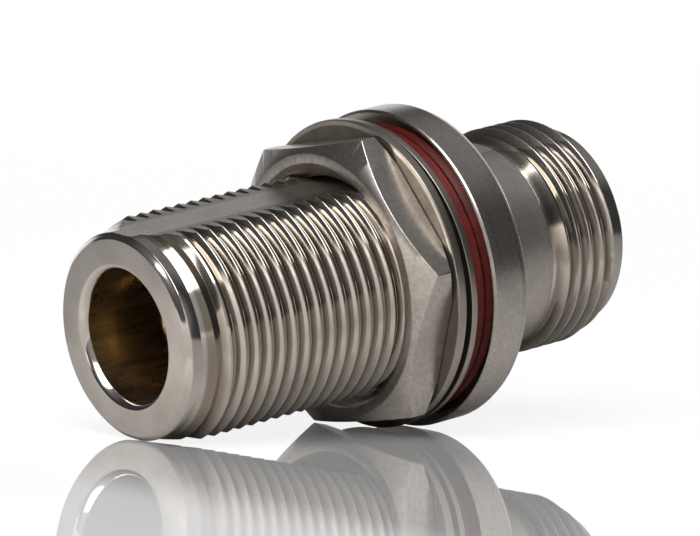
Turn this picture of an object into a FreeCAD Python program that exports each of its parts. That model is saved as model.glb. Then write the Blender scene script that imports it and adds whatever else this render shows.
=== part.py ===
import FreeCAD, Part
import math
import os

# Coaxial adapter, socket to socket, for fixing in a panel.
# The axis is X and the mouth of the long barrel looks toward -X. The origin
# is on the axis at the flange's front face, where the panel seats. Two flats
# are milled along the barrel and look up and down, +Z and -Z. Millimetres
# and degrees.

# Threaded barrel
THREAD_R = 7.9
THREAD_PITCH = 25.4 / 24.0
PILOT_R = 7.05
PILOT_LEN = 1.15
EDGE_ROUND = 0.45
ROUND_STEPS = 2
LEAD_CONE_LEN = 2.3
RELIEF_DEPTH = 0.7
RELIEF_LEN = THREAD_PITCH
FRONT_LEN = 22.9
FLAT_HEIGHT = 6.98
FLAT_CUT_OVERRUN = 1.0

# Flange, neck and rear coupling
FLANGE_WIDTH = 3.15
FLANGE_T = 2.5
FLANGE_BEVEL = 0.25
FLANGE_BEVEL_LEN = 0.55
NECK_R = 7.1
NECK_LEN = 5.65
REAR_THREAD_LEN = 4.1
REAR_STEP_LEN = 0.45
REAR_PILOT_LEN = 1.44

# Bore and outer conductor
MOUTH_BORE_R = 4.45
MOUTH_CHAMFER = 0.5
MOUTH_CHAMFER_LEN = 0.6
BORE_WALL_END = 3.8
BORE_RELIEF_STEP = 0.2
SEAT_STEP = 0.2
BUSH_SETBACK = 7.0
REF_DEPTH = 9.1
SOCKET_R = 4.05
LINE_R = 3.5
BUSH_LEAD = 0.1

# Insulator and centre contact
BEAD_T = 6.0
CONTACT_R = 1.52
TIP_R = 1.46
TIP_SETBACK = 4.15
TIP_EDGE = 0.22
SPIGOT_R = 1.335
PIN_HOLE_R = 0.825
PIN_HOLE_DEPTH = 5.4
PIN_LEAD = 0.3
SLOT_W = 0.3
SLOT_LEN = 4.7
SLOT_COUNT = 4
STUD_R = 0.8
STUD_LEN = 3.0
STUD_END_GAP = 0.3

# Nut
NUT_CORNER_INSET = 0.05
NUT_T = 2.8
NUT_CLEARANCE = 0.05
NUT_SINK = 0.47
NUT_FACE_RING = 0.73
NUT_CHAMFER_SLOPE = 0.61
NUT_REAR_RING_EXTRA = 0.9
NUT_GAP = 0.05
NUT_CORNER_ANGLE = 108.07

# Washers and gasket
WASHER_BORE_CLEARANCE = 0.3
FLAT_WASHER_INSET = 0.33
FLAT_WASHER_T = 0.7
FLAT_WASHER_EDGE = 0.12
FLAT_WASHER_FRONT = -2.9
FLAT_WASHER_LIFT = 0.2
THIN_WASHER_INSET = 0.45
THIN_WASHER_T = 0.5
THIN_WASHER_EDGE = 0.08
THIN_WASHER_LEAN = 1.5
THIN_WASHER_LEAN_SIDE = -150.0
THIN_WASHER_LIFT = 0.1
THIN_WASHER_GAP = 0.02
GASKET_INSET = 1.05
GASKET_NECK_CLEARANCE = 0.4
GASKET_T = 0.85

FLANGE_R = THREAD_R + FLANGE_WIDTH
NUT_CORNER_R = FLANGE_R - NUT_CORNER_INSET
FLAT_WASHER_R = FLANGE_R - FLAT_WASHER_INSET
THIN_WASHER_R = FLANGE_R - THIN_WASHER_INSET
GASKET_R = FLANGE_R - GASKET_INSET
SEAT_R = MOUTH_BORE_R - SEAT_STEP
BORE_RELIEF_R = MOUTH_BORE_R + BORE_RELIEF_STEP
RELIEF_R = THREAD_R - RELIEF_DEPTH

MOUTH_X = -FRONT_LEN
PILOT_END_X = MOUTH_X + PILOT_LEN
LEAD_END_X = PILOT_END_X + LEAD_CONE_LEN
NECK_START_X = FLANGE_T + FLANGE_BEVEL_LEN
NECK_END_X = NECK_START_X + NECK_LEN
REAR_CONE_LEN = THREAD_R - NECK_R
REAR_THREAD_X = NECK_END_X + REAR_CONE_LEN
REAR_THREAD_END_X = REAR_THREAD_X + REAR_THREAD_LEN
REAR_PILOT_X = REAR_THREAD_END_X + REAR_STEP_LEN
REAR_X = REAR_PILOT_X + REAR_PILOT_LEN
BEAD_MID_X = (MOUTH_X + REAR_X) / 2.0

X_AXIS = FreeCAD.Vector(1, 0, 0)
ORIGIN = FreeCAD.Vector(0, 0, 0)


def point(x, r):
    return FreeCAD.Vector(x, 0, r)


def revolve_outline(points):
    """Turn a closed polygon given as (x, r) pairs about the X axis."""
    corners = [point(x, r) for x, r in points]
    corners.append(corners[0])
    return Part.Face(Part.makePolygon(corners)).revolve(ORIGIN, X_AXIS, 360)


def tube(x0, x1, r_in, r_out):
    return revolve_outline([(x0, r_in), (x1, r_in), (x1, r_out), (x0, r_out)])


def rounded_corner(start, centre, end):
    """Points of a quarter round about a centre, in equal steps."""
    a0 = math.atan2(start[1] - centre[1], start[0] - centre[0])
    a1 = math.atan2(end[1] - centre[1], end[0] - centre[0])
    turn = (a1 - a0 + math.pi) % (2 * math.pi) - math.pi
    radius = math.hypot(start[0] - centre[0], start[1] - centre[1])
    points = []
    for i in range(ROUND_STEPS + 1):
        a = a0 + turn * i / ROUND_STEPS
        points.append((centre[0] + radius * math.cos(a), centre[1] + radius * math.sin(a)))
    return points


def end_outline(face_x, inward):
    """One end from its seat and bore over the chamfer and face to its pilot."""
    seat_x = face_x + inward * BUSH_SETBACK
    wall_end = face_x + inward * BORE_WALL_END
    edge = EDGE_ROUND
    edge_x = face_x + inward * edge
    points = [
        (seat_x, SEAT_R),
        (seat_x, BORE_RELIEF_R),
        (wall_end, BORE_RELIEF_R),
        (wall_end, MOUTH_BORE_R),
        (face_x + inward * MOUTH_CHAMFER_LEN, MOUTH_BORE_R),
        (face_x, MOUTH_BORE_R + MOUTH_CHAMFER),
    ]
    points += rounded_corner((face_x, PILOT_R - edge), (edge_x, PILOT_R - edge), (edge_x, PILOT_R))
    return points


def body_outline():
    """The one turned shell: barrel, flange, neck, rear coupling, bore."""
    outside = [
        (PILOT_END_X, PILOT_R),
        (LEAD_END_X, THREAD_R),
        (-RELIEF_LEN, THREAD_R),
        (-RELIEF_LEN, RELIEF_R),
        (0, RELIEF_R),
        (0, FLANGE_R),
        (FLANGE_T, FLANGE_R),
        (NECK_START_X, FLANGE_R - FLANGE_BEVEL),
        (NECK_START_X, NECK_R),
        (NECK_END_X, NECK_R),
        (REAR_THREAD_X, THREAD_R),
        (REAR_THREAD_END_X, THREAD_R),
        (REAR_PILOT_X, PILOT_R),
    ]
    return end_outline(MOUTH_X, 1) + outside + end_outline(REAR_X, -1)[::-1]


def make_body():
    """The shell with its barrel milled flat above and below."""
    shell = revolve_outline(body_outline())
    overrun = FLAT_CUT_OVERRUN
    run = FRONT_LEN - RELIEF_LEN + overrun
    depth = THREAD_R - FLAT_HEIGHT + overrun
    for low_z in (FLAT_HEIGHT, -FLAT_HEIGHT - depth):
        corner = FreeCAD.Vector(MOUTH_X - overrun, -THREAD_R, low_z)
        shell = shell.cut(Part.makeBox(run, 2 * THREAD_R, depth, corner))
    return shell


def make_bush(face_x, bead_x, inward):
    """A pressed sleeve: wide socket, then the line bore up to the bead."""
    start = face_x + inward * BUSH_SETBACK
    ref = face_x + inward * REF_DEPTH
    return revolve_outline([
        (start, SOCKET_R + BUSH_LEAD),
        (start + inward * BUSH_LEAD, SOCKET_R),
        (ref, SOCKET_R),
        (ref, LINE_R),
        (bead_x, LINE_R),
        (bead_x, SEAT_R),
        (start + inward * BUSH_LEAD, SEAT_R),
        (start, SEAT_R - BUSH_LEAD / 2.0),
    ])


def bead_faces():
    return BEAD_MID_X - BEAD_T / 2.0, BEAD_MID_X + BEAD_T / 2.0


def make_bead():
    front, rear = bead_faces()
    return tube(front, rear, SPIGOT_R, SEAT_R)


def pinched_socket(tip_x, shoulder_x, inward):
    """Solid contact blank with its tip drawn in and its edge broken."""
    slot_root = tip_x + inward * SLOT_LEN
    return revolve_outline([
        (tip_x, 0),
        (tip_x, TIP_R - TIP_EDGE),
        (tip_x + inward * TIP_EDGE, TIP_R),
        (slot_root, CONTACT_R),
        (shoulder_x, CONTACT_R),
        (shoulder_x, 0),
    ])


def pin_hole(tip_x, inward):
    """Drilled hole for the mating pin, countersunk, with a drill point."""
    bottom = tip_x + inward * PIN_HOLE_DEPTH
    return revolve_outline([
        (tip_x, 0),
        (tip_x, PIN_HOLE_R + PIN_LEAD),
        (tip_x + inward * PIN_LEAD, PIN_HOLE_R),
        (bottom, PIN_HOLE_R),
        (bottom + inward * PIN_HOLE_R * 0.6, 0),
    ])


def slots(tip_x, inward):
    """Saw cuts that divide the socket into springing tines."""
    cuts = []
    start = tip_x - inward * 1.0
    reach = SLOT_LEN + 1.0
    low = min(start, start + inward * reach)
    step = 360.0 / SLOT_COUNT
    for i in range(SLOT_COUNT):
        cut = Part.makeBox(reach, SLOT_W, 2 * CONTACT_R, FreeCAD.Vector(low, -SLOT_W / 2.0, 0))
        cut.rotate(ORIGIN, X_AXIS, step * (i + 0.5))
        cuts.append(cut)
    return cuts


def make_front_contact():
    tip = MOUTH_X + TIP_SETBACK
    shoulder = bead_faces()[0]
    blank = pinched_socket(tip, shoulder, 1)
    blank = blank.cut(pin_hole(tip, 1))
    for cut in slots(tip, 1):
        blank = blank.cut(cut)
    depth = STUD_LEN + STUD_END_GAP
    stud_hole = Part.makeCylinder(STUD_R, depth, point(shoulder - depth, 0), X_AXIS)
    return blank.cut(stud_hole)


def make_rear_contact():
    tip = REAR_X - TIP_SETBACK
    front, shoulder = bead_faces()
    blank = pinched_socket(tip, shoulder, -1)
    blank = blank.cut(pin_hole(tip, -1))
    for cut in slots(tip, -1):
        blank = blank.cut(cut)
    spigot = Part.makeCylinder(SPIGOT_R, BEAD_T, point(front, 0), X_AXIS)
    stud = Part.makeCylinder(STUD_R, STUD_LEN, point(front - STUD_LEN, 0), X_AXIS)
    return blank.fuse(spigot).fuse(stud).removeSplitter()


def nut_front_x():
    return FLAT_WASHER_FRONT - NUT_GAP - NUT_T


def make_nut():
    """Hexagon with a bevelled face on both sides and a sunk bore mouth."""
    front = nut_front_x()
    bore = THREAD_R + NUT_CLEARANCE
    ring = bore + NUT_SINK + NUT_FACE_RING
    rear_ring = ring + NUT_REAR_RING_EXTRA
    reach = NUT_CORNER_R + 1.0
    front_run = (reach - ring) * NUT_CHAMFER_SLOPE
    rear_run = (reach - rear_ring) * NUT_CHAMFER_SLOPE
    rear = front + NUT_T
    points = []
    for i in range(6):
        a = math.radians(NUT_CORNER_ANGLE + 60 * i)
        points.append(FreeCAD.Vector(front, NUT_CORNER_R * math.cos(a), NUT_CORNER_R * math.sin(a)))
    points.append(points[0])
    prism = Part.Face(Part.makePolygon(points)).extrude(FreeCAD.Vector(NUT_T, 0, 0))
    turned = revolve_outline([
        (front, bore + NUT_SINK),
        (front, ring),
        (front + front_run, reach),
        (rear - rear_run, reach),
        (rear, rear_ring),
        (rear, bore + NUT_SINK),
        (rear - NUT_SINK, bore),
        (front + NUT_SINK, bore),
    ])
    return prism.common(turned)


def rounded_ring(x0, thick, r_in, r_out, edge):
    """A washer with its outer edges broken."""
    x1 = x0 + thick
    return revolve_outline([
        (x0, r_in),
        (x0, r_out - edge),
        (x0 + edge, r_out),
        (x1 - edge, r_out),
        (x1, r_out - edge),
        (x1, r_in),
    ])


def make_flat_washer():
    return rounded_ring(
        FLAT_WASHER_FRONT, FLAT_WASHER_T, THREAD_R + WASHER_BORE_CLEARANCE,
        FLAT_WASHER_R, FLAT_WASHER_EDGE)


def make_thin_washer():
    """The thin washer leans: its upper far edge touches the flat one."""
    lean = math.radians(THIN_WASHER_LEAN)
    half = THIN_WASHER_T / 2.0
    ring = rounded_ring(
        -half, THIN_WASHER_T, THREAD_R + WASHER_BORE_CLEARANCE, THIN_WASHER_R, THIN_WASHER_EDGE)
    side = math.radians(THIN_WASHER_LEAN_SIDE)
    # turning about this axis moves the leaning side toward +X
    hinge = FreeCAD.Vector(0, -math.sin(side), math.cos(side))
    ring.rotate(ORIGIN, hinge, -THIN_WASHER_LEAN)
    swing = THIN_WASHER_R * math.sin(lean) + half * math.cos(lean)
    seat = FLAT_WASHER_FRONT + FLAT_WASHER_T + THIN_WASHER_GAP
    ring.translate(FreeCAD.Vector(seat + swing, 0, 0))
    return ring


def make_gasket():
    return tube(-GASKET_T, 0, RELIEF_R + GASKET_NECK_CLEARANCE, GASKET_R)


def lifted(ring, lift):
    """A loose ring that hangs a little off centre on the barrel."""
    ring.translate(FreeCAD.Vector(0, 0, lift))
    return ring


def export_all():
    front, rear = bead_faces()
    pieces = {
        "body": make_body(),
        "front_bush": make_bush(MOUTH_X, front, 1),
        "rear_bush": make_bush(REAR_X, rear, -1),
        "bead": make_bead(),
        "front_contact": make_front_contact(),
        "rear_contact": make_rear_contact(),
        "gasket": make_gasket(),
        "thin_washer": lifted(make_thin_washer(), THIN_WASHER_LIFT),
        "flat_washer": lifted(make_flat_washer(), FLAT_WASHER_LIFT),
        "hex_nut": make_nut(),
    }
    os.makedirs("parts", exist_ok=True)
    for name, shape in pieces.items():
        shape.exportStep("parts/" + name + ".step")


export_all()
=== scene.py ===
import math
import bmesh
import bpy
from mathutils import Matrix, Vector


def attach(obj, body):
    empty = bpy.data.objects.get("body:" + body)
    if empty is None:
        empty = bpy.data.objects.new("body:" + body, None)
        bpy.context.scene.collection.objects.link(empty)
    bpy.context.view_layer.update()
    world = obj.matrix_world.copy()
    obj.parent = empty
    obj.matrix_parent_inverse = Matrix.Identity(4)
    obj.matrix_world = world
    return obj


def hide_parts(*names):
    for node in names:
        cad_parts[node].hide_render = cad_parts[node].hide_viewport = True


# Looks of a socket-to-socket coaxial adapter: a threaded barrel milled flat
# above and below, a flange, a red gasket, two washers and a hexagon nut.
# Sizes are millimetres along the axis X, with 0 at the flange's front face.

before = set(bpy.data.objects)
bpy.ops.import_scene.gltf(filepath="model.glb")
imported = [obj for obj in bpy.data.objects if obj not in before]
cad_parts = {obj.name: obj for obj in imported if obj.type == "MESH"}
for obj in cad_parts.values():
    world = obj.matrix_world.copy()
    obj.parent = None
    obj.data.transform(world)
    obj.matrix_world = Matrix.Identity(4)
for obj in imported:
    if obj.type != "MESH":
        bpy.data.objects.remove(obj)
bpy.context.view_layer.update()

MM = 0.001
COLUMNS = 180
WELD_GAP = 0.0002
SHARP_ANGLE = 30.0
SHELL_SHARP_ANGLE = 19.0
NUT_SHARP_ANGLE = 24.0
FACE_SHADING_WEIGHT = 100
EASE_STEPS = 3
EASE_SHARE = 0.4

# Threads
PITCH = 25.4 / 24.0
CREST_R = 7.9
ROOT_DEPTH = 0.61
FRONT_CREST_X = -19.36
REAR_CREST_X = 9.95
FLANK_TILT = 60.0
CREST_ROUND = 0.08
CREST_STEPS = 4
ROOT_EASE = 0.03
ROOT_BEND = 0.2

# Shell
MOUTH_X = -22.9
PILOT_R = 7.05
PILOT_END_X = -21.75
LEAD_END_X = -19.45
RELIEF_X = -PITCH
RELIEF_R = 7.2
RELIEF_FILLET = 0.05
FLAT_Z = 6.98
CUT_MARGIN = 1.0
FLANGE_R = 11.05
NECK_START_X = 3.05
NECK_R = 7.1
NECK_END_X = 8.7
NECK_STEP = 0.12
REAR_THREAD_X = 9.5
REAR_THREAD_END_X = 13.6
REAR_PILOT_X = 14.05
REAR_X = 15.49

# Bores and their rounded lips
BORE_R = 4.45
BORE_CHAMFER = 0.5
BORE_CHAMFER_LEN = 0.6
BORE_WALL_END = 3.8
BORE_RELIEF_R = 4.65
SEAT_R = 4.25
SEAT_DEPTH = 7.0
LIP_START = 0.08
LIP_LAND = 0.06
LIP_SHARES = (0.06, 0.14, 0.24, 0.36, 0.5, 0.64, 0.78, 0.9, 1.0)
LIP_DEPTH_POWER = 1.7
LIP_RADIUS_POWER = 1.25

# Edges of the shell, each point as (along the axis, out) from the sharp corner
FACE_EDGE = (
    (0.0, -0.45), (0.015, -0.4), (0.165, -0.215), (0.285, -0.125), (0.36, -0.03), (0.45, 0.0))
FLANGE_FRONT_EDGE = ((0.0, -0.18), (0.05, -0.07), (0.16, 0.0))
FLANGE_REAR_EDGE = ((-0.67, 0.0), (-0.55, -0.03), (-0.1, -0.23), (-0.02, -0.29), (0.0, -0.37))
NECK_FILLET = ((0.0, 0.2), (0.06, 0.06), (0.2, 0.0))
NECK_END_EDGE = ((-0.1, 0.0), (-0.05, -0.015), (-0.015, -0.05))

# Nut
NUT_FRONT_X = -5.75
NUT_T = 2.8
NUT_CORNER_R = 11.0
NUT_BORE_R = 7.95
NUT_SINK = 0.47
NUT_CREST_R = 7.4
THREAD_GAP = 0.06
NUT_RING_R = 9.15
NUT_REAR_RING_R = 10.05
NUT_SLOPE = 0.61
NUT_CORNER_ANGLE = 108.07
NUT_EDGE = 0.16
NUT_ROUND = 0.05
NUT_RING_LIFT = 0.02
NUT_RIM_LEAST = 0.02
NUT_RIM_START = 0.04
NUT_RIM_MIDDLE = (0.015, 0.01)
NUT_RIM_END = 0.07
HEXAGON_SIDES = 6
HALF_SIDE_ANGLE = 180.0 / HEXAGON_SIDES
CORNER_OFFSETS = (0.0, 0.2, 0.35, 0.5, 0.65, 0.8, 1.0, 1.3)
SIDE_OFFSET = 2.5
SIDE_STEP = 1.25
SIDE_COUNT = 23

# Washers and gasket
FLAT_WASHER_X = -2.9
FLAT_WASHER_T = 0.7
FLAT_WASHER_R = 10.72
FLAT_WASHER_LIFT = 0.2
FLAT_WASHER_EDGE = 0.12
THIN_WASHER_T = 0.5
THIN_WASHER_R = 10.6
THIN_WASHER_LEAN = 1.5
THIN_WASHER_SIDE = -150.0
THIN_WASHER_LIFT = 0.1
THIN_WASHER_EDGE = 0.08
WASHER_GAP = 0.02
WASHER_BORE_R = 8.2
GASKET_BORE_R = 7.6
GASKET_R = 10.0
GASKET_T = 0.85
GASKET_EDGE = 0.2
GASKET_EDGE_STEPS = 4

# Camera and table
VIEW_TURN = Vector((1.727014864554021, -0.6583806590708728, 0.43695586936797637))
VIEW_SHIFT = Vector((2.7176541886341936, 0.0494653655853971, 365.42055549321555))
FOCAL_PIXELS = 5336.78
PHOTO_WIDTH = 700
SENSOR_WIDTH = 36.0
CLIP_START = 10.0
CLIP_END = 20000.0
TABLE_NORMAL = Vector((0.1765, 0.07321, 0.98157))
TABLE_LEVEL = -10.889
TABLE_R = 2500.0
TABLE_SPOKES = 64

# Colours, linear red, green and blue
WHITE = (1.0, 1.0, 1.0)
BLACK = (0.0, 0.0, 0.0)
WARM_NICKEL = (0.73, 0.685, 0.635)
WORN_NICKEL = (0.42, 0.39, 0.36)
PEBBLED_NICKEL = (0.40, 0.36, 0.32)
WASHER_NICKEL = (0.54, 0.495, 0.44)
# painted shade: the washers' faces are darker where the nut and flange shade them, mottled as a
# stain
WASHER_FACE_SHADE = (0.34, 0.31, 0.27)
DARK_STAIN_AND_SHADE = (0.11, 0.095, 0.07)
PALE_STAIN_AND_SHADE = (0.22, 0.195, 0.16)
# painted shade in the thread grooves
GROOVE_PAINTED_SHADE = (0.30, 0.24, 0.17)
BORE_DARK = (0.36, 0.30, 0.22)
BORE_BRASS = (0.74, 0.57, 0.34)
INNER_NICKEL = (0.42, 0.33, 0.22)
PALE_GOLD = (0.95, 0.72, 0.34)
DEEP_GOLD = (0.84, 0.60, 0.26)
PALE_RESIN = (0.86, 0.85, 0.82)
DEEP_RESIN = (0.80, 0.78, 0.74)
PALE_RED = (0.15, 0.012, 0.010)
DEEP_RED = (0.10, 0.008, 0.007)
RED_DUST = (0.30, 0.11, 0.09)
TABLE_OFF_WHITE = (0.985, 0.985, 0.985)
TABLE_GREY = (0.58, 0.56, 0.545)
TABLE_DEEP_GREY = (0.54, 0.525, 0.51)
# painted light: a brighter patch of table before the mouth, seen only in reflections
TABLE_PAINTED_LIGHT = (0.88, 0.84, 0.80)
CLOUD_SHADE = 0.86

# Even noises, as (cells per millimetre, detail, roughness)
CLOUDS = (0.35, 3.0, 0.55)
SPECKS = (5.0, 2.0, 0.6)
PEBBLES = (3.2, 3.0, 0.65)
GOLD_CLOUDS = (0.9, 2.0, 0.5)
RESIN_CLOUDS = (0.6, 3.0, 0.5)
RUBBER_GRAIN = (14.0, 3.0, 0.6)
RUBBER_CLOUDS = (0.8, 3.0, 0.5)
TABLE_CLOUDS = (0.02, 3.0, 0.5)
TABLE_GRAIN = (2.0, 2.0, 0.5)

# Striped noises, as (cells along u, cells along v, layer, detail, roughness)
TOOL_LINES = (9.0, 1.2, 0.3, 1.0, 0.5)
RIM_TEETH = (60.0, 0.6, 0.0, 1.0, 0.4)
FACE_STAIN = (9.0, 1.4, 0.2, 3.0, 0.6)
BRUSHED_LINES = (9.0, 34.0, 0.7, 3.0, 0.7)
MILLED_LINES = (9.0, 6.0, 0.2, 3.0, 0.65)
BORE_STREAKS = (6.0, 0.22, 0.4, 3.0, 0.6)
GOLD_LINES = (20.0, 1.5, 0.0, 3.0, 0.6)
RESIN_LINES = (6.0, 0.8, 0.0, 2.0, 0.6)
LINE_SLANT = 0.73
GOLD_LINE_SLANT = 1.5
RESIN_LINE_SLANT = 3.0

# Levels of a noise between which what it stands for comes in
SPECK_LEVELS = (0.62, 0.78)
CLOUD_LEVELS = (0.35, 0.7)
STAIN_LEVELS = (0.3, 0.75)
STREAK_LEVELS = (0.3, 0.7)
PEBBLE_WEAR_LEVELS = (0.42, 0.62)
MILLED_WEAR_LEVELS = (0.4, 0.6)
BRUSHED_WEAR_LEVELS = (0.4, 0.62)
GOLD_CLOUD_LEVELS = (0.3, 0.7)
DUST_LEVELS = (0.66, 0.8)

# How strongly a mark changes the colour below it
# share of the painted shade over the stain on the washers' faces
STAIN_SHADE_MIX = 0.45
PEBBLE_WEAR = 0.35
MILLED_WEAR = 0.6
BRUSHED_WEAR = 0.4
# strength of the painted shade in the thread grooves
GROOVE_SHADE_SHARE = 0.7
DUST = 0.25

# Height of the relief that a finish's noise makes
SHELL_RELIEF = 0.0004
NUT_RELIEF = 0.0008
WASHER_RELIEF = 0.0008
INNER_RELIEF = 0.002
GOLD_RELIEF = 0.001
RESIN_RELIEF = 0.02
RUBBER_RELIEF = 0.01

# Heights of other marks in that relief, where a tool line's is 1
SPECK_HEIGHT = 0.15
TEETH_HEIGHT = 1.2
PEBBLE_HEIGHT = 3.0
BRUSHED_HEIGHT = 4.0
MILLED_HEIGHT = 6.0

# Roughness of each finish, and what noises and marks add to it
SHELL_ROUGH = 0.06
NUT_ROUGH = 0.24
WASHER_ROUGH = 0.24
INNER_ROUGH = 0.26
CLOUD_HAZE = 0.08
LINE_HAZE = 0.05
SPECK_HAZE = 0.08
WASHER_FACE_HAZE = 0.18
SATIN_HAZE = 0.14
FLAT_HAZE = 0.16
NECK_HAZE = 0.12
BORE_HAZE = 0.16
GOLD_ROUGH = 0.08
GOLD_LINE_HAZE = 0.08
GOLD_CLOUD_HAZE = 0.05
RESIN_ROUGH = 0.42
RESIN_LINE_HAZE = 0.12
RUBBER_ROUGH = 0.36
RUBBER_GRAIN_HAZE = 0.16
RUBBER_GLOSS = 0.35
TABLE_ROUGH = 0.1
TABLE_GRAIN_HAZE = 0.05
TABLE_MIRROR_ROUGH = 0.015

# The table's polish: its strength for all rays, what the camera sees on top of that,
# and the share that is left in front of the mouth
TABLE_POLISH = 0.24
TABLE_SEEN_POLISH = 0.8
TABLE_SEEN_GLOW = 0.055
TABLE_WORN_POLISH = 0.55

# Bands of the surface, as the two ends between which a mark fades in or out;
# the rim's is measured from a washer's own radius
RIM_BAND = (-0.25, -0.1)
NECK_START_BAND = (NECK_START_X + 0.1, NECK_START_X + 0.2)
NECK_END_BAND = (NECK_END_X - 0.12, NECK_END_X - 0.08)
NECK_BAND = (NECK_R - 0.2, NECK_R - 0.1)
FLANGE_BAND = (FLANGE_R - 0.3, FLANGE_R - 0.2)
FLAT_BAND = (FLAT_Z - 0.03, FLAT_Z - 0.01)
CREST_BAND = (CREST_R, CREST_R + 0.05)
GROOVE_FOOT_BAND = (7.12, 7.2)
GROOVE_TOP_BAND = (7.3, 7.78)
BORE_BAND = (BORE_RELIEF_R + 0.02, BORE_RELIEF_R + 0.06)
FRONT_BORE_BAND = (MOUTH_X + 0.58, MOUTH_X + 0.61)
REAR_BORE_BAND = (REAR_X - 0.61, REAR_X - 0.58)
GASKET_RIM_BAND = (9.9, 9.98)
MOULD_LINES_PER_MM = 14.0
# where the painted pool of light lies on the table
PAINTED_LIGHT_X_BAND = (-34.0, -20.0)
PAINTED_LIGHT_Y_BAND = (10.0, 32.0)
TABLE_WEAR_BAND = (-42.0, -30.0)

# Lamp and room: spots as (azimuth, elevation, where they start, where they are full)
SOFTBOX_PLACE = Vector((-190.0, -175.0, 400.0))
SOFTBOX_SIZE = (440.0, 410.0)
SOFTBOX_LEVEL = 4.05
BACKDROP_SPOT = (50, 0, 0.72, 0.9)
BACKDROP_TOP_BAND = (0.1, 0.53)
CARD_SPOT = (-170, 2, 0.93, 0.985)
GLOW_SPOT = (10, 52, 0.75, 0.97)
HAZE_SPOT = (-105, 25, 0.72, 1.0)
HALO_SPOT = (-165, 62, 0.7, 0.98)
ROOM_LEVEL = 0.045
BACKDROP_LEVEL = 0.9
GLOW_LEVEL = 0.16
HAZE_LEVEL = 0.3
HALO_LEVEL = 0.12
CARD_LEVELS = (1.5, 1.4, 1.29)


def mesh_piece(name, verts, faces, sharp=SHARP_ANGLE):
    """A mesh object from millimetre vertices, smooth but for its sharp edges."""
    mesh = bpy.data.meshes.new(name)
    mesh.from_pydata([(x * MM, y * MM, z * MM) for x, y, z in verts], [], faces)
    form = bmesh.new()
    form.from_mesh(mesh)
    bmesh.ops.remove_doubles(form, verts=form.verts, dist=WELD_GAP * MM)
    bmesh.ops.recalc_face_normals(form, faces=form.faces)
    form.to_mesh(mesh)
    form.free()
    finish_shading(mesh, sharp)
    piece = bpy.data.objects.new(name, mesh)
    bpy.context.scene.collection.objects.link(piece)
    return piece


def finish_shading(mesh, sharp):
    mesh.shade_smooth()
    mesh.set_sharp_from_angle(angle=math.radians(sharp))


def even_shading(piece):
    """Let the broad faces set the shading, so that flats stay flat beside small rounds."""
    even = piece.modifiers.new("even_shading", "WEIGHTED_NORMAL")
    even.mode = "FACE_AREA"
    even.weight = FACE_SHADING_WEIGHT
    even.keep_sharp = True


def around(x, r, a):
    """A point at station x and radius r, turned a degrees from +Y toward +Z."""
    return (x, r * math.cos(math.radians(a)), r * math.sin(math.radians(a)))


def eased(outline, radius, steps=EASE_STEPS):
    """The closed outline with each corner turned into a small round."""
    out = []
    n = len(outline)
    for i in range(n):
        here = Vector(outline[i])
        before = Vector(outline[i - 1]) - here
        after = Vector(outline[(i + 1) % n]) - here
        reach = min(radius, before.length * EASE_SHARE, after.length * EASE_SHARE)
        p = here + before.normalized() * reach
        q = here + after.normalized() * reach
        for k in range(steps + 1):
            t = k / steps
            out.append(tuple(p * (1 - t) ** 2 + here * 2 * t * (1 - t) + q * t * t))
    return out


def turned(name, outline):
    """A closed outline of (x, r) points turned about the axis."""
    n = len(outline)
    verts = []
    for j in range(COLUMNS):
        verts += [around(x, r, 360.0 * j / COLUMNS) for x, r in outline]
    verts += verts[:n]
    return mesh_piece(name, verts, strip_faces(COLUMNS + 1, n))


def strip_faces(columns, rows):
    """Quads between neighbouring columns of closed outlines; the last one meets the first."""
    faces = []
    for j in range(columns - 1):
        for i in range(rows):
            m = (i + 1) % rows
            faces.append((j * rows + i, j * rows + m, (j + 1) * rows + m, (j + 1) * rows + i))
    return faces


def thread_profile():
    """One turn of the thread as (x, height), both in millimetres from its rounded crest."""
    tilt = math.radians(FLANK_TILT)
    half = PITCH / 2.0
    side = []
    for k in range(1, CREST_STEPS + 1):
        a = tilt * (k - 0.5) / (CREST_STEPS - 0.5)
        side.append((CREST_ROUND * math.sin(a), CREST_ROUND * (math.cos(a) - 1.0)))
    crest_end, drop = side[-1]
    foot = crest_end + (ROOT_DEPTH - ROOT_EASE + drop) / math.tan(tilt)
    side += [
        (foot, ROOT_EASE - ROOT_DEPTH), (foot + ROOT_EASE, ROOT_EASE * ROOT_BEND - ROOT_DEPTH),
        (foot + ROOT_EASE * 2.0, -ROOT_DEPTH)]
    return [(-half, -ROOT_DEPTH)] + [(-x, h) for x, h in reversed(side)] + side


PROFILE = thread_profile()


def thread_height(offset):
    """Height of the thread below its crest, offset millimetres from the crest's middle."""
    offset = (offset + PITCH / 2.0) % PITCH - PITCH / 2.0
    ends = PROFILE + [(PITCH / 2.0, -ROOT_DEPTH)]
    for (x0, h0), (x1, h1) in zip(ends, ends[1:]):
        if offset <= x1:
            return h0 + (h1 - h0) * (offset - x0) / (x1 - x0)
    return -ROOT_DEPTH


def thread_stations(start, end, crest_x, angle):
    """Stations x along a thread at one angle with their offset from a crest, a fixed count."""
    first = math.floor((start - crest_x) / PITCH) - 1
    last = math.ceil((end - crest_x) / PITCH) + 1
    here = crest_x + PITCH * angle / 360.0
    rows = []
    for turn in range(first, last + 1):
        for offset, _ in PROFILE:
            x = min(max(here + PITCH * turn + offset, start), end)
            rows.append((x, x - here))
    return rows


def thread_rows(start, end, crest_x, envelope, angle):
    """Points (x, r) along an outside thread at one angle."""
    return [
        (x, min(CREST_R + thread_height(offset), envelope(x)))
        for x, offset in thread_stations(start, end, crest_x, angle)]


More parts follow.
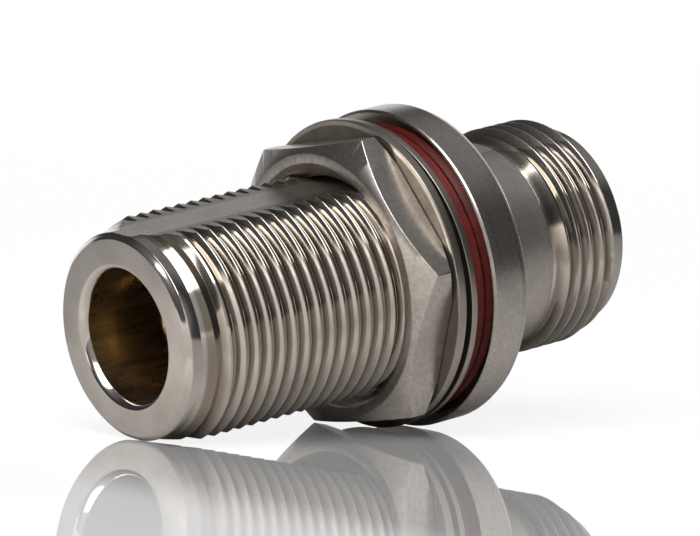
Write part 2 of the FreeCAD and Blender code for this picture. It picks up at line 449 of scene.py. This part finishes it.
def nut_thread_rows(start, end, angle):
    """Points (x, r) of the nut's own thread, in mesh with the barrel's."""
    rows = []
    for x, offset in thread_stations(start, end, FRONT_CREST_X, angle):
        r = max(CREST_R + thread_height(offset) + THREAD_GAP, NUT_CREST_R)
        depth = min(x - NUT_FRONT_X, NUT_FRONT_X + NUT_T - x)
        rows.append((x, max(r, NUT_BORE_R + NUT_SINK - depth)))
    return rows


def slope_between(x0, r0, x1, r1):
    """Envelope that rises along a cone and stays level beyond it."""
    def envelope(x):
        t = min(max((x - x0) / (x1 - x0), 0.0), 1.0)
        return r0 + (r1 - r0) * t
    return envelope


def edge_at(x, r, edge):
    """The points of an edge carried to its sharp corner at station x and radius r."""
    return [(x + along, r + out) for along, out in edge]


def mouth_outline(face_x, inward):
    """One end from its seat and bore over the lip and face to its pilot."""
    def at(depth, r):
        return (face_x + inward * depth, r)

    points = [
        at(SEAT_DEPTH, SEAT_R), at(SEAT_DEPTH, BORE_RELIEF_R), at(BORE_WALL_END, BORE_RELIEF_R),
        at(BORE_WALL_END, BORE_R), at(BORE_CHAMFER_LEN + LIP_START, BORE_R)]
    for t in LIP_SHARES:
        depth = BORE_CHAMFER_LEN * (1 - t) ** LIP_DEPTH_POWER
        points.append(at(depth, BORE_R + BORE_CHAMFER * t ** LIP_RADIUS_POWER))
    points.append(at(0, BORE_R + BORE_CHAMFER + LIP_LAND))
    return points + [at(depth, PILOT_R + out) for depth, out in FACE_EDGE]


def shell_column(angle):
    """The shell's closed outline at one angle, threads included."""
    lead = slope_between(PILOT_END_X, PILOT_R, LEAD_END_X, CREST_R)
    run_out = slope_between(NECK_END_X, NECK_R - NECK_STEP, REAR_THREAD_X, CREST_R)
    run_in = slope_between(REAR_THREAD_END_X, CREST_R, REAR_PILOT_X, PILOT_R)
    column = mouth_outline(MOUTH_X, 1)
    column += thread_rows(PILOT_END_X, RELIEF_X, FRONT_CREST_X, lead, angle)
    column += [
        (RELIEF_X, RELIEF_R), (-RELIEF_FILLET, RELIEF_R), (0, RELIEF_R + RELIEF_FILLET)]
    column += edge_at(0, FLANGE_R, FLANGE_FRONT_EDGE)
    column += edge_at(NECK_START_X, FLANGE_R, FLANGE_REAR_EDGE)
    column += edge_at(NECK_START_X, NECK_R, NECK_FILLET)
    column += edge_at(NECK_END_X, NECK_R, NECK_END_EDGE)
    column += thread_rows(
        NECK_END_X, REAR_PILOT_X, REAR_CREST_X, lambda x: min(run_out(x), run_in(x)), angle)
    column += reversed(mouth_outline(REAR_X, -1))
    return column


def make_shell():
    """The threaded shell, its barrel milled flat above and below."""
    verts = []
    rows = 0
    for j in range(COLUMNS + 1):
        angle = 360.0 * j / COLUMNS
        column = shell_column(angle)
        rows = len(column)
        verts += [around(x, r, angle) for x, r in column]
    shell = mesh_piece(
        "threaded_shell", verts, strip_faces(COLUMNS + 1, rows), SHELL_SHARP_ANGLE)
    for side in (1, -1):
        mill_flat(shell, side)
    return shell


def mill_flat(shell, side):
    """Cut a flat along the barrel with a box, side +1 above and -1 below."""
    reach = CREST_R + CUT_MARGIN
    verts = [
        (x, y, side * z) for x in (MOUTH_X - CUT_MARGIN, RELIEF_X)
        for y in (-reach, reach) for z in (FLAT_Z, reach)]
    faces = [(0, 1, 3, 2), (4, 6, 7, 5), (0, 4, 5, 1), (2, 3, 7, 6), (0, 2, 6, 4), (1, 5, 7, 3)]
    cutter = mesh_piece("flat_cutter", verts, faces)
    cut = shell.modifiers.new("flat", "BOOLEAN")
    cut.operation = "DIFFERENCE"
    cut.solver = "EXACT"
    cut.object = cutter
    bpy.context.view_layer.update()
    graph = bpy.context.evaluated_depsgraph_get()
    milled = bpy.data.meshes.new_from_object(shell.evaluated_get(graph))
    shell.modifiers.clear()
    shell.data = milled
    finish_shading(milled, SHELL_SHARP_ANGLE)
    bpy.data.objects.remove(cutter)


def hexagon_radius(offset, apothem, edge):
    """Distance from the axis to a hexagon's rounded side, offset degrees from a corner."""
    half_side = math.radians(HALF_SIDE_ANGLE)
    inner = (apothem - edge) / math.cos(half_side)
    d = math.radians(abs(offset))
    reach = edge * edge - (inner * math.sin(d)) ** 2
    if reach >= 0:
        on_round = inner * math.cos(d) + math.sqrt(reach)
        turn = math.atan2(on_round * math.sin(d), on_round * math.cos(d) - inner)
        if turn <= half_side:
            return on_round
    return apothem / math.cos(half_side - d)


def nut_angles():
    """Angles of the nut's columns round to the first again, as (angle, offset from a corner)."""
    sides = list(CORNER_OFFSETS) + [SIDE_OFFSET + SIDE_STEP * k for k in range(SIDE_COUNT)]
    offsets = sorted({-s for s in sides if s < HALF_SIDE_ANGLE} | set(sides))
    angles = [
        (NUT_CORNER_ANGLE + 2 * HALF_SIDE_ANGLE * corner + s, s)
        for corner in range(HEXAGON_SIDES) for s in offsets]
    first, offset = angles[0]
    return angles + [(first + 360, offset)]


def nut_face(face_x, ring_r, r, outward):
    """Points (x, r) of one face of the nut, from its bore over ring and bevel to the rim."""
    ring = min(ring_r, r - NUT_RIM_LEAST)
    rim_x = face_x - outward * max(r - ring_r, 0.0) * NUT_SLOPE
    back, drop = NUT_RIM_MIDDLE
    return [
        (face_x, NUT_BORE_R + NUT_SINK + NUT_ROUND), (face_x, ring - NUT_ROUND),
        (face_x - outward * NUT_ROUND * NUT_SLOPE, ring + NUT_RING_LIFT),
        (rim_x + outward * NUT_RIM_START * NUT_SLOPE, r - NUT_RIM_START),
        (rim_x - outward * back, r - drop), (rim_x - outward * NUT_RIM_END, r)]


def make_nut():
    """Hexagon nut: bevelled both sides, sunk bore, corners lightly broken."""
    apothem = NUT_CORNER_R * math.cos(math.radians(HALF_SIDE_ANGLE))
    rear_x = NUT_FRONT_X + NUT_T
    verts = []
    angles = nut_angles()
    rows = 0
    for angle, offset in angles:
        r = hexagon_radius(offset, apothem, NUT_EDGE)
        thread = nut_thread_rows(NUT_FRONT_X + NUT_ROUND, rear_x - NUT_ROUND, angle)
        column = list(reversed(thread))
        column += nut_face(NUT_FRONT_X, NUT_RING_R, r, -1)
        column += reversed(nut_face(rear_x, NUT_REAR_RING_R, r, 1))
        rows = len(column)
        verts += [around(x, q, angle) for x, q in column]
    return mesh_piece("nut_metal", verts, strip_faces(len(angles), rows), NUT_SHARP_ANGLE)


def washer_outline(x0, thick, r_out, edge):
    x1 = x0 + thick
    return eased([(x0, WASHER_BORE_R), (x0, r_out), (x1, r_out), (x1, WASHER_BORE_R)], edge)


def make_flat_washer():
    ring = turned("flat_washer_metal", washer_outline(
        FLAT_WASHER_X, FLAT_WASHER_T, FLAT_WASHER_R, FLAT_WASHER_EDGE))
    ring.data.transform(Matrix.Translation((0, 0, FLAT_WASHER_LIFT * MM)))
    return ring


def make_thin_washer():
    """The thin washer leans until its edge meets the flat one."""
    lean = math.radians(THIN_WASHER_LEAN)
    half = THIN_WASHER_T / 2.0
    ring = turned("thin_washer_metal", washer_outline(
        -half, THIN_WASHER_T, THIN_WASHER_R, THIN_WASHER_EDGE))
    side = math.radians(THIN_WASHER_SIDE)
    hinge = Vector((0, -math.sin(side), math.cos(side)))
    swing = THIN_WASHER_R * math.sin(lean) + half * math.cos(lean)
    seat = FLAT_WASHER_X + FLAT_WASHER_T + WASHER_GAP
    ring.data.transform(Matrix.Rotation(-lean, 4, hinge))
    ring.data.transform(Matrix.Translation((
        (seat + swing) * MM, 0, THIN_WASHER_LIFT * MM)))
    return ring


def make_gasket():
    return turned("gasket_rubber", eased([
        (-GASKET_T, GASKET_BORE_R), (-GASKET_T, GASKET_R), (0, GASKET_R), (0, GASKET_BORE_R)],
        GASKET_EDGE, GASKET_EDGE_STEPS))


class Signal:
    """A number socket of a finish that takes part in sums like a number."""

    def __init__(self, finish, socket):
        self.finish = finish
        self.socket = socket

    def work(self, operation, *others):
        values = {i: v for i, v in enumerate((self,) + others)}
        return Signal(self.finish, self.finish.node(
            "ShaderNodeMath", {"operation": operation}, values).outputs[0])

    def __add__(self, other):
        return self.work("ADD", other)

    def __radd__(self, other):
        return self.work("ADD", other)

    def __sub__(self, other):
        return self.work("SUBTRACT", other)

    def __rsub__(self, other):
        return Signal(self.finish, self.finish.node(
            "ShaderNodeMath", {"operation": "SUBTRACT"}, {0: other, 1: self}).outputs[0])

    def __mul__(self, other):
        return self.work("MULTIPLY", other)

    def __rmul__(self, other):
        return self.work("MULTIPLY", other)

    def root(self):
        return self.work("SQRT")

    def size(self):
        return self.work("ABSOLUTE")

    def least(self, other):
        return self.work("MINIMUM", other)

    def step(self, low, high):
        """0 below low, 1 above high, eased between."""
        spread = {0: self, 1: low, 2: high, 3: 0.0, 4: 1.0}
        return Signal(self.finish, self.finish.node(
            "ShaderNodeMapRange", {"interpolation_type": "SMOOTHSTEP"}, spread).outputs[0])

    def fall(self, low, high):
        """1 below low, 0 above high, eased between."""
        return 1.0 - self.step(low, high)


class Finish:
    """The node graph of one material or of the world."""

    def __init__(self, owner):
        owner.use_nodes = True
        self.tree = owner.node_tree
        self.tree.nodes.clear()

    def node(self, kind, settings=None, inputs=None):
        made = self.tree.nodes.new(kind)
        for key, value in (settings or {}).items():
            setattr(made, key, value)
        for key, value in (inputs or {}).items():
            if isinstance(value, Signal):
                value = value.socket
            if isinstance(value, bpy.types.NodeSocket):
                self.tree.links.new(value, made.inputs[key])
            else:
                made.inputs[key].default_value = value
        return made

    def signal(self, socket):
        return Signal(self, socket)

    def place(self):
        """x, y, z of the surface in millimetres, with radius and turn about the axis."""
        where = self.node("ShaderNodeTexCoord").outputs["Object"]
        parts = self.node("ShaderNodeSeparateXYZ", None, {0: where}).outputs
        x, y, z = [self.signal(p) * (1.0 / MM) for p in parts]
        r = (y * y + z * z).root()
        turn = y.work("ARCTAN2", z)
        return x, y, z, r, turn

    def noise(self, u, v, w, detail, rough):
        """Cloudy noise from 0 to 1 over three signals."""
        spot = self.node("ShaderNodeCombineXYZ", None, {0: u, 1: v, 2: w}).outputs[0]
        made = self.node("ShaderNodeTexNoise", {"noise_dimensions": "3D"}, {
            "Vector": spot, "Scale": 1.0, "Detail": detail, "Roughness": rough})
        return self.signal(made.outputs[0])

    def even(self, place, pattern):
        """An even noise, its cells of one size in all directions."""
        x, y, z = place[:3]
        per_mm, detail, rough = pattern
        return self.noise(x * per_mm, y * per_mm, z * per_mm, detail, rough)

    def striped(self, u, v, pattern):
        """A striped noise, its cells of one size along u and of another along v."""
        along_u, along_v, layer, detail, rough = pattern
        return self.noise(u * along_u, v * along_v, layer, detail, rough)

    def blend(self, amount, first, second):
        """Colour from first to second as amount goes from 0 to 1."""
        made = self.node("ShaderNodeMix", {"data_type": "RGBA"}, {0: amount, 6: first, 7: second})
        return made.outputs[2]

    def relief(self, height, distance):
        """Normal of a surface raised by height, distance in millimetres."""
        return self.node("ShaderNodeBump", None, {
            "Height": height, "Distance": distance * MM}).outputs[0]

    def surface(self, inputs):
        shader = self.node("ShaderNodeBsdfPrincipled", None, inputs)
        self.node("ShaderNodeOutputMaterial", None, {0: shader.outputs[0]})


def colour(tone, share=1.0):
    """A tone made darker by a share, with full opacity."""
    return tuple(c * share for c in tone) + (1.0,)


def nickel(name, tone, rough, line_height, add_marks=None):
    """Nickel plate over turned brass: tool lines round the axis, clouds and specks."""
    material = bpy.data.materials.new(name)
    f = Finish(material)
    place = f.place()
    x, _, _, r, turn = place
    lines = f.striped(x + r * LINE_SLANT, turn, TOOL_LINES)
    cloud = f.even(place, CLOUDS)
    specks = f.even(place, SPECKS).step(*SPECK_LEVELS)
    height = lines + specks * SPECK_HEIGHT
    haze = rough + cloud * CLOUD_HAZE + lines * LINE_HAZE + specks * SPECK_HAZE
    base = f.blend(cloud.step(*CLOUD_LEVELS), colour(tone), colour(tone, CLOUD_SHADE))
    if add_marks:
        height, haze, base = add_marks(f, place, height, haze, base)
    f.surface({
        "Base Color": base, "Metallic": 1.0, "Roughness": haze,
        "Normal": f.relief(height, line_height)})
    return material


def washer_marks(rim_r):
    """Fine teeth on a washer's rim; its faces painted darker as shade between the nut, washers
    and flange, over a noisy stain.
    """
    def add_marks(f, place, height, haze, base):
        x, _, _, r, turn = place
        on_rim = r.step(rim_r + RIM_BAND[0], rim_r + RIM_BAND[1])
        teeth = f.striped(turn, x, RIM_TEETH)
        # painted shade: the faces get darker colours standing in for the nut's shade, mottled by
        # stain noise
        stain = f.striped(turn, r, FACE_STAIN).step(*STAIN_LEVELS)
        stain_and_shade = f.blend(stain, colour(DARK_STAIN_AND_SHADE), colour(PALE_STAIN_AND_SHADE))
        shaded_face = f.blend(STAIN_SHADE_MIX, stain_and_shade, colour(WASHER_FACE_SHADE))
        height = height + teeth * on_rim * TEETH_HEIGHT
        haze = haze + (1.0 - on_rim) * WASHER_FACE_HAZE
        return height, haze, f.blend(on_rim, shaded_face, base)
    return add_marks


def nut_marks(f, place, height, haze, base):
    """Pebbled grain of a tumbled nut."""
    pebble = f.even(place, PEBBLES)
    worn = pebble.step(*PEBBLE_WEAR_LEVELS) * PEBBLE_WEAR
    height = height + pebble * PEBBLE_HEIGHT
    return height, haze, f.blend(worn, base, colour(PEBBLED_NICKEL))


def shell_marks(f, place, height, haze, base):
    """Satin neck and flange, milled flats, thread grooves painted darker brown as shade, and
    streaked bores.
    """
    x, y, z, r, turn = place
    neck = x.step(*NECK_START_BAND) * x.fall(*NECK_END_BAND)
    satin = r.step(*FLANGE_BAND) + neck * r.step(*NECK_BAND)
    flat = z.size().step(*FLAT_BAND) * r.fall(*CREST_BAND)
    brushed = f.striped(x, turn, BRUSHED_LINES)
    milled = f.striped(x, y, MILLED_LINES)
    height = height + brushed * satin * BRUSHED_HEIGHT + milled * flat * MILLED_HEIGHT
    worn = (
        milled.step(*MILLED_WEAR_LEVELS) * flat * MILLED_WEAR
        + brushed.step(*BRUSHED_WEAR_LEVELS) * satin * BRUSHED_WEAR)
    base = f.blend(worn, base, colour(WORN_NICKEL))
    # painted shade: the thread's roots and flanks are darkened to brown
    groove_shade = r.fall(*GROOVE_TOP_BAND) * r.step(*GROOVE_FOOT_BAND)
    base = f.blend(groove_shade * GROOVE_SHADE_SHARE, base, colour(GROOVE_PAINTED_SHADE))
    bore = r.fall(*BORE_BAND) * x.step(*FRONT_BORE_BAND) * x.fall(*REAR_BORE_BAND)
    streaks = f.striped(turn, x, BORE_STREAKS).step(*STREAK_LEVELS)
    brown = f.blend(streaks, colour(BORE_DARK), colour(BORE_BRASS))
    haze = (
        haze + satin * SATIN_HAZE + flat * FLAT_HAZE + neck * NECK_HAZE + bore * BORE_HAZE)
    return height, haze, f.blend(bore, base, brown)


def gold_plate():
    """Gold plate with fine turning lines."""
    material = bpy.data.materials.new("gold_plate")
    f = Finish(material)
    place = f.place()
    x, _, _, r, turn = place
    lines = f.striped(x * GOLD_LINE_SLANT + r, turn, GOLD_LINES)
    cloud = f.even(place, GOLD_CLOUDS)
    f.surface({
        "Base Color": f.blend(
            cloud.step(*GOLD_CLOUD_LEVELS), colour(PALE_GOLD), colour(DEEP_GOLD)),
        "Metallic": 1.0,
        "Roughness": GOLD_ROUGH + lines * GOLD_LINE_HAZE + cloud * GOLD_CLOUD_HAZE,
        "Normal": f.relief(lines, GOLD_RELIEF)})
    return material


def white_resin():
    """White fluoropolymer with turning lines."""
    material = bpy.data.materials.new("white_fluoropolymer")
    f = Finish(material)
    place = f.place()
    x, _, _, r, turn = place
    lines = f.striped(r * RESIN_LINE_SLANT + x, turn, RESIN_LINES)
    cloud = f.even(place, RESIN_CLOUDS)
    f.surface({
        "Base Color": f.blend(cloud, colour(PALE_RESIN), colour(DEEP_RESIN)),
        "Roughness": RESIN_ROUGH + lines * RESIN_LINE_HAZE,
        "Normal": f.relief(lines, RESIN_RELIEF)})
    return material


def red_silicone():
    """Red rubber with a moulding line, dust and fine grain."""
    material = bpy.data.materials.new("red_silicone")
    f = Finish(material)
    place = f.place()
    x, _, _, r, _ = place
    grain = f.even(place, RUBBER_GRAIN)
    cloud = f.even(place, RUBBER_CLOUDS)
    line = 1.0 - ((x + GASKET_T * 0.5) * MOULD_LINES_PER_MM).size().least(1.0)
    dust = grain.step(*DUST_LEVELS) * DUST
    red = f.blend(cloud.step(*CLOUD_LEVELS), colour(PALE_RED), colour(DEEP_RED))
    f.surface({
        "Base Color": f.blend(dust, red, colour(RED_DUST)),
        "Roughness": RUBBER_ROUGH + grain * RUBBER_GRAIN_HAZE,
        "Specular IOR Level": RUBBER_GLOSS,
        "Normal": f.relief(grain + line * r.step(*GASKET_RIM_BAND), RUBBER_RELIEF)})
    return material


def table_surface():
    """Pale polished table, a mirror at a flat glance; greyer to the metal above it, with a
    painted pool of light before the mouth that only the metal sees.
    """
    material = bpy.data.materials.new("pale_table")
    f = Finish(material)
    place = f.place()
    x, y = place[:2]
    cloud = f.even(place, TABLE_CLOUDS)
    grain = f.even(place, TABLE_GRAIN)
    seen = f.signal(f.node("ShaderNodeLightPath").outputs["Is Camera Ray"])
    pale = f.blend(cloud, colour(WHITE), colour(TABLE_OFF_WHITE))
    grey = f.blend(cloud, colour(TABLE_GREY), colour(TABLE_DEEP_GREY))
    # painted light: a brighter cream patch of table before the mouth, for the metal's reflections
    painted_light_patch = x.fall(*PAINTED_LIGHT_X_BAND) * y.fall(*PAINTED_LIGHT_Y_BAND)
    grey = f.blend(painted_light_patch, grey, colour(TABLE_PAINTED_LIGHT))
    matt = f.node("ShaderNodeBsdfDiffuse", None, {
        "Color": f.blend(seen, grey, pale), "Roughness": TABLE_ROUGH + grain * TABLE_GRAIN_HAZE})
    mirror = f.node("ShaderNodeBsdfGlossy", None, {
        "Color": colour(WHITE), "Roughness": TABLE_MIRROR_ROUGH})
    glance = f.signal(f.node("ShaderNodeLayerWeight", None, {"Blend": 0.5}).outputs["Facing"])
    wear = TABLE_WORN_POLISH + (1.0 - TABLE_WORN_POLISH) * x.step(*TABLE_WEAR_BAND)
    polish = glance * glance * wear * (seen * TABLE_SEEN_POLISH + TABLE_POLISH)
    mixed = f.node("ShaderNodeMixShader", None, {
        0: polish, 1: matt.outputs[0], 2: mirror.outputs[0]})
    glow = f.blend(seen, colour(BLACK), colour(WHITE, TABLE_SEEN_GLOW))
    bright = f.node("ShaderNodeEmission", None, {0: glow, 1: 1.0})
    total = f.node("ShaderNodeAddShader", None, {0: mixed.outputs[0], 1: bright.outputs[0]})
    f.node("ShaderNodeOutputMaterial", None, {0: total.outputs[0]})
    return material


def paint(piece, material):
    piece.data.materials.clear()
    piece.data.materials.append(material)


def make_table():
    """A wide disc under the adapter, which leans on its flange rim and barrel."""
    side = TABLE_NORMAL.orthogonal().normalized()
    front = TABLE_NORMAL.cross(side).normalized()
    foot = TABLE_NORMAL * TABLE_LEVEL
    verts = []
    for k in range(TABLE_SPOKES):
        a = 2 * math.pi * k / TABLE_SPOKES
        verts.append(tuple(foot + (side * math.cos(a) + front * math.sin(a)) * TABLE_R))
    table = mesh_piece("table", verts, [tuple(range(TABLE_SPOKES))])
    if table.data.polygons[0].normal.dot(TABLE_NORMAL) < 0:
        table.data.flip_normals()
    paint(table, table_surface())


def direction(azimuth, elevation):
    a, e = math.radians(azimuth), math.radians(elevation)
    return Vector((math.cos(a) * math.cos(e), math.sin(a) * math.cos(e), math.sin(e)))


def light_room():
    """A dark room with a white backdrop behind the part and a cream card at its mouth."""
    world = bpy.data.worlds.new("studio")
    bpy.context.scene.world = world
    f = Finish(world)
    look = f.node("ShaderNodeTexCoord").outputs["Generated"]

    def facing(axis):
        made = f.node("ShaderNodeVectorMath", {"operation": "DOT_PRODUCT"}, {0: look, 1: axis})
        return f.signal(made.outputs["Value"])

    def spot(azimuth, elevation, start, full):
        return facing(direction(azimuth, elevation)).step(start, full)

    backdrop = spot(*BACKDROP_SPOT) * facing(TABLE_NORMAL).fall(*BACKDROP_TOP_BAND)
    card = spot(*CARD_SPOT)
    grey = (
        ROOM_LEVEL + backdrop * BACKDROP_LEVEL + spot(*GLOW_SPOT) * GLOW_LEVEL
        + spot(*HAZE_SPOT) * HAZE_LEVEL + spot(*HALO_SPOT) * HALO_LEVEL)
    shade = f.node("ShaderNodeCombineColor", None, {
        i: grey + card * level for i, level in enumerate(CARD_LEVELS)}).outputs[0]
    path = f.node("ShaderNodeLightPath").outputs
    seen = f.signal(path["Is Camera Ray"])
    mirrored = f.signal(path["Is Glossy Ray"]) + f.signal(path["Is Transmission Ray"])
    white = (seen + mirrored * backdrop).least(1.0)
    sky = f.node("ShaderNodeBackground", None, {
        0: f.blend(white, shade, colour(WHITE)), 1: 1.0})
    f.node("ShaderNodeOutputWorld", None, {0: sky.outputs[0]})


def add_softbox():
    """A large soft lamp over the front of the part."""
    lamp = bpy.data.lights.new("softbox", "AREA")
    lamp.shape = "RECTANGLE"
    lamp.size, lamp.size_y = [side * MM for side in SOFTBOX_SIZE]
    lamp.energy = math.pi * lamp.size * lamp.size_y * SOFTBOX_LEVEL
    holder = bpy.data.objects.new("softbox", lamp)
    holder.location = SOFTBOX_PLACE * MM
    bpy.context.scene.collection.objects.link(holder)


def add_camera():
    turn = Matrix.Rotation(VIEW_TURN.length, 3, VIEW_TURN.normalized())
    eye = -(turn.transposed() @ VIEW_SHIFT) * MM
    camera = bpy.data.cameras.new("photo_camera")
    camera.sensor_width = SENSOR_WIDTH
    camera.lens = FOCAL_PIXELS / PHOTO_WIDTH * SENSOR_WIDTH
    camera.clip_start, camera.clip_end = CLIP_START * MM, CLIP_END * MM
    holder = bpy.data.objects.new("photo_camera", camera)
    right, down, forward = turn.row
    pose = Matrix((right, -down, -forward)).transposed().to_4x4()
    holder.matrix_world = Matrix.Translation(eye) @ pose
    bpy.context.scene.collection.objects.link(holder)
    bpy.context.scene.camera = holder


def dress_inner_pieces():
    """Materials of the pieces inside, whose shapes come from the frame."""
    lining = nickel("bore_lining", INNER_NICKEL, INNER_ROUGH, INNER_RELIEF)
    gold = gold_plate()
    for node, material in (
            ("front_bush", lining), ("rear_bush", lining),
            ("front_contact", gold), ("rear_contact", gold), ("bead", white_resin())):
        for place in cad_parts[node].material_slots:
            place.material = material


shell = make_shell()
nut = make_nut()
flat_washer = make_flat_washer()
thin_washer = make_thin_washer()
gasket = make_gasket()

for piece in (shell, nut, flat_washer, thin_washer, gasket):
    even_shading(piece)

paint(shell, nickel(
    "shell_nickel", WARM_NICKEL, SHELL_ROUGH, SHELL_RELIEF, shell_marks))
paint(nut, nickel("nut_nickel", WARM_NICKEL, NUT_ROUGH, NUT_RELIEF, nut_marks))
paint(flat_washer, nickel(
    "washer_nickel", WASHER_NICKEL, WASHER_ROUGH, WASHER_RELIEF, washer_marks(FLAT_WASHER_R)))
paint(thin_washer, nickel(
    "thin_washer_nickel", WASHER_NICKEL, WASHER_ROUGH, WASHER_RELIEF,
    washer_marks(THIN_WASHER_R)))
paint(gasket, red_silicone())
dress_inner_pieces()

PIECES = (
    (shell, "shell", "body", "nickel"), (nut, "nut", "hex_nut", "nickel"),
    (flat_washer, "washers", "flat_washer", "nickel"),
    (thin_washer, "washers", "thin_washer", "nickel"), (gasket, "shell", "gasket", "silicone"))
for piece, body, node, slot in PIECES:
    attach(piece, body)
    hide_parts(node)

make_table()
light_room()
add_softbox()
add_camera()
bpy.context.scene.view_settings.view_transform = "Standard"
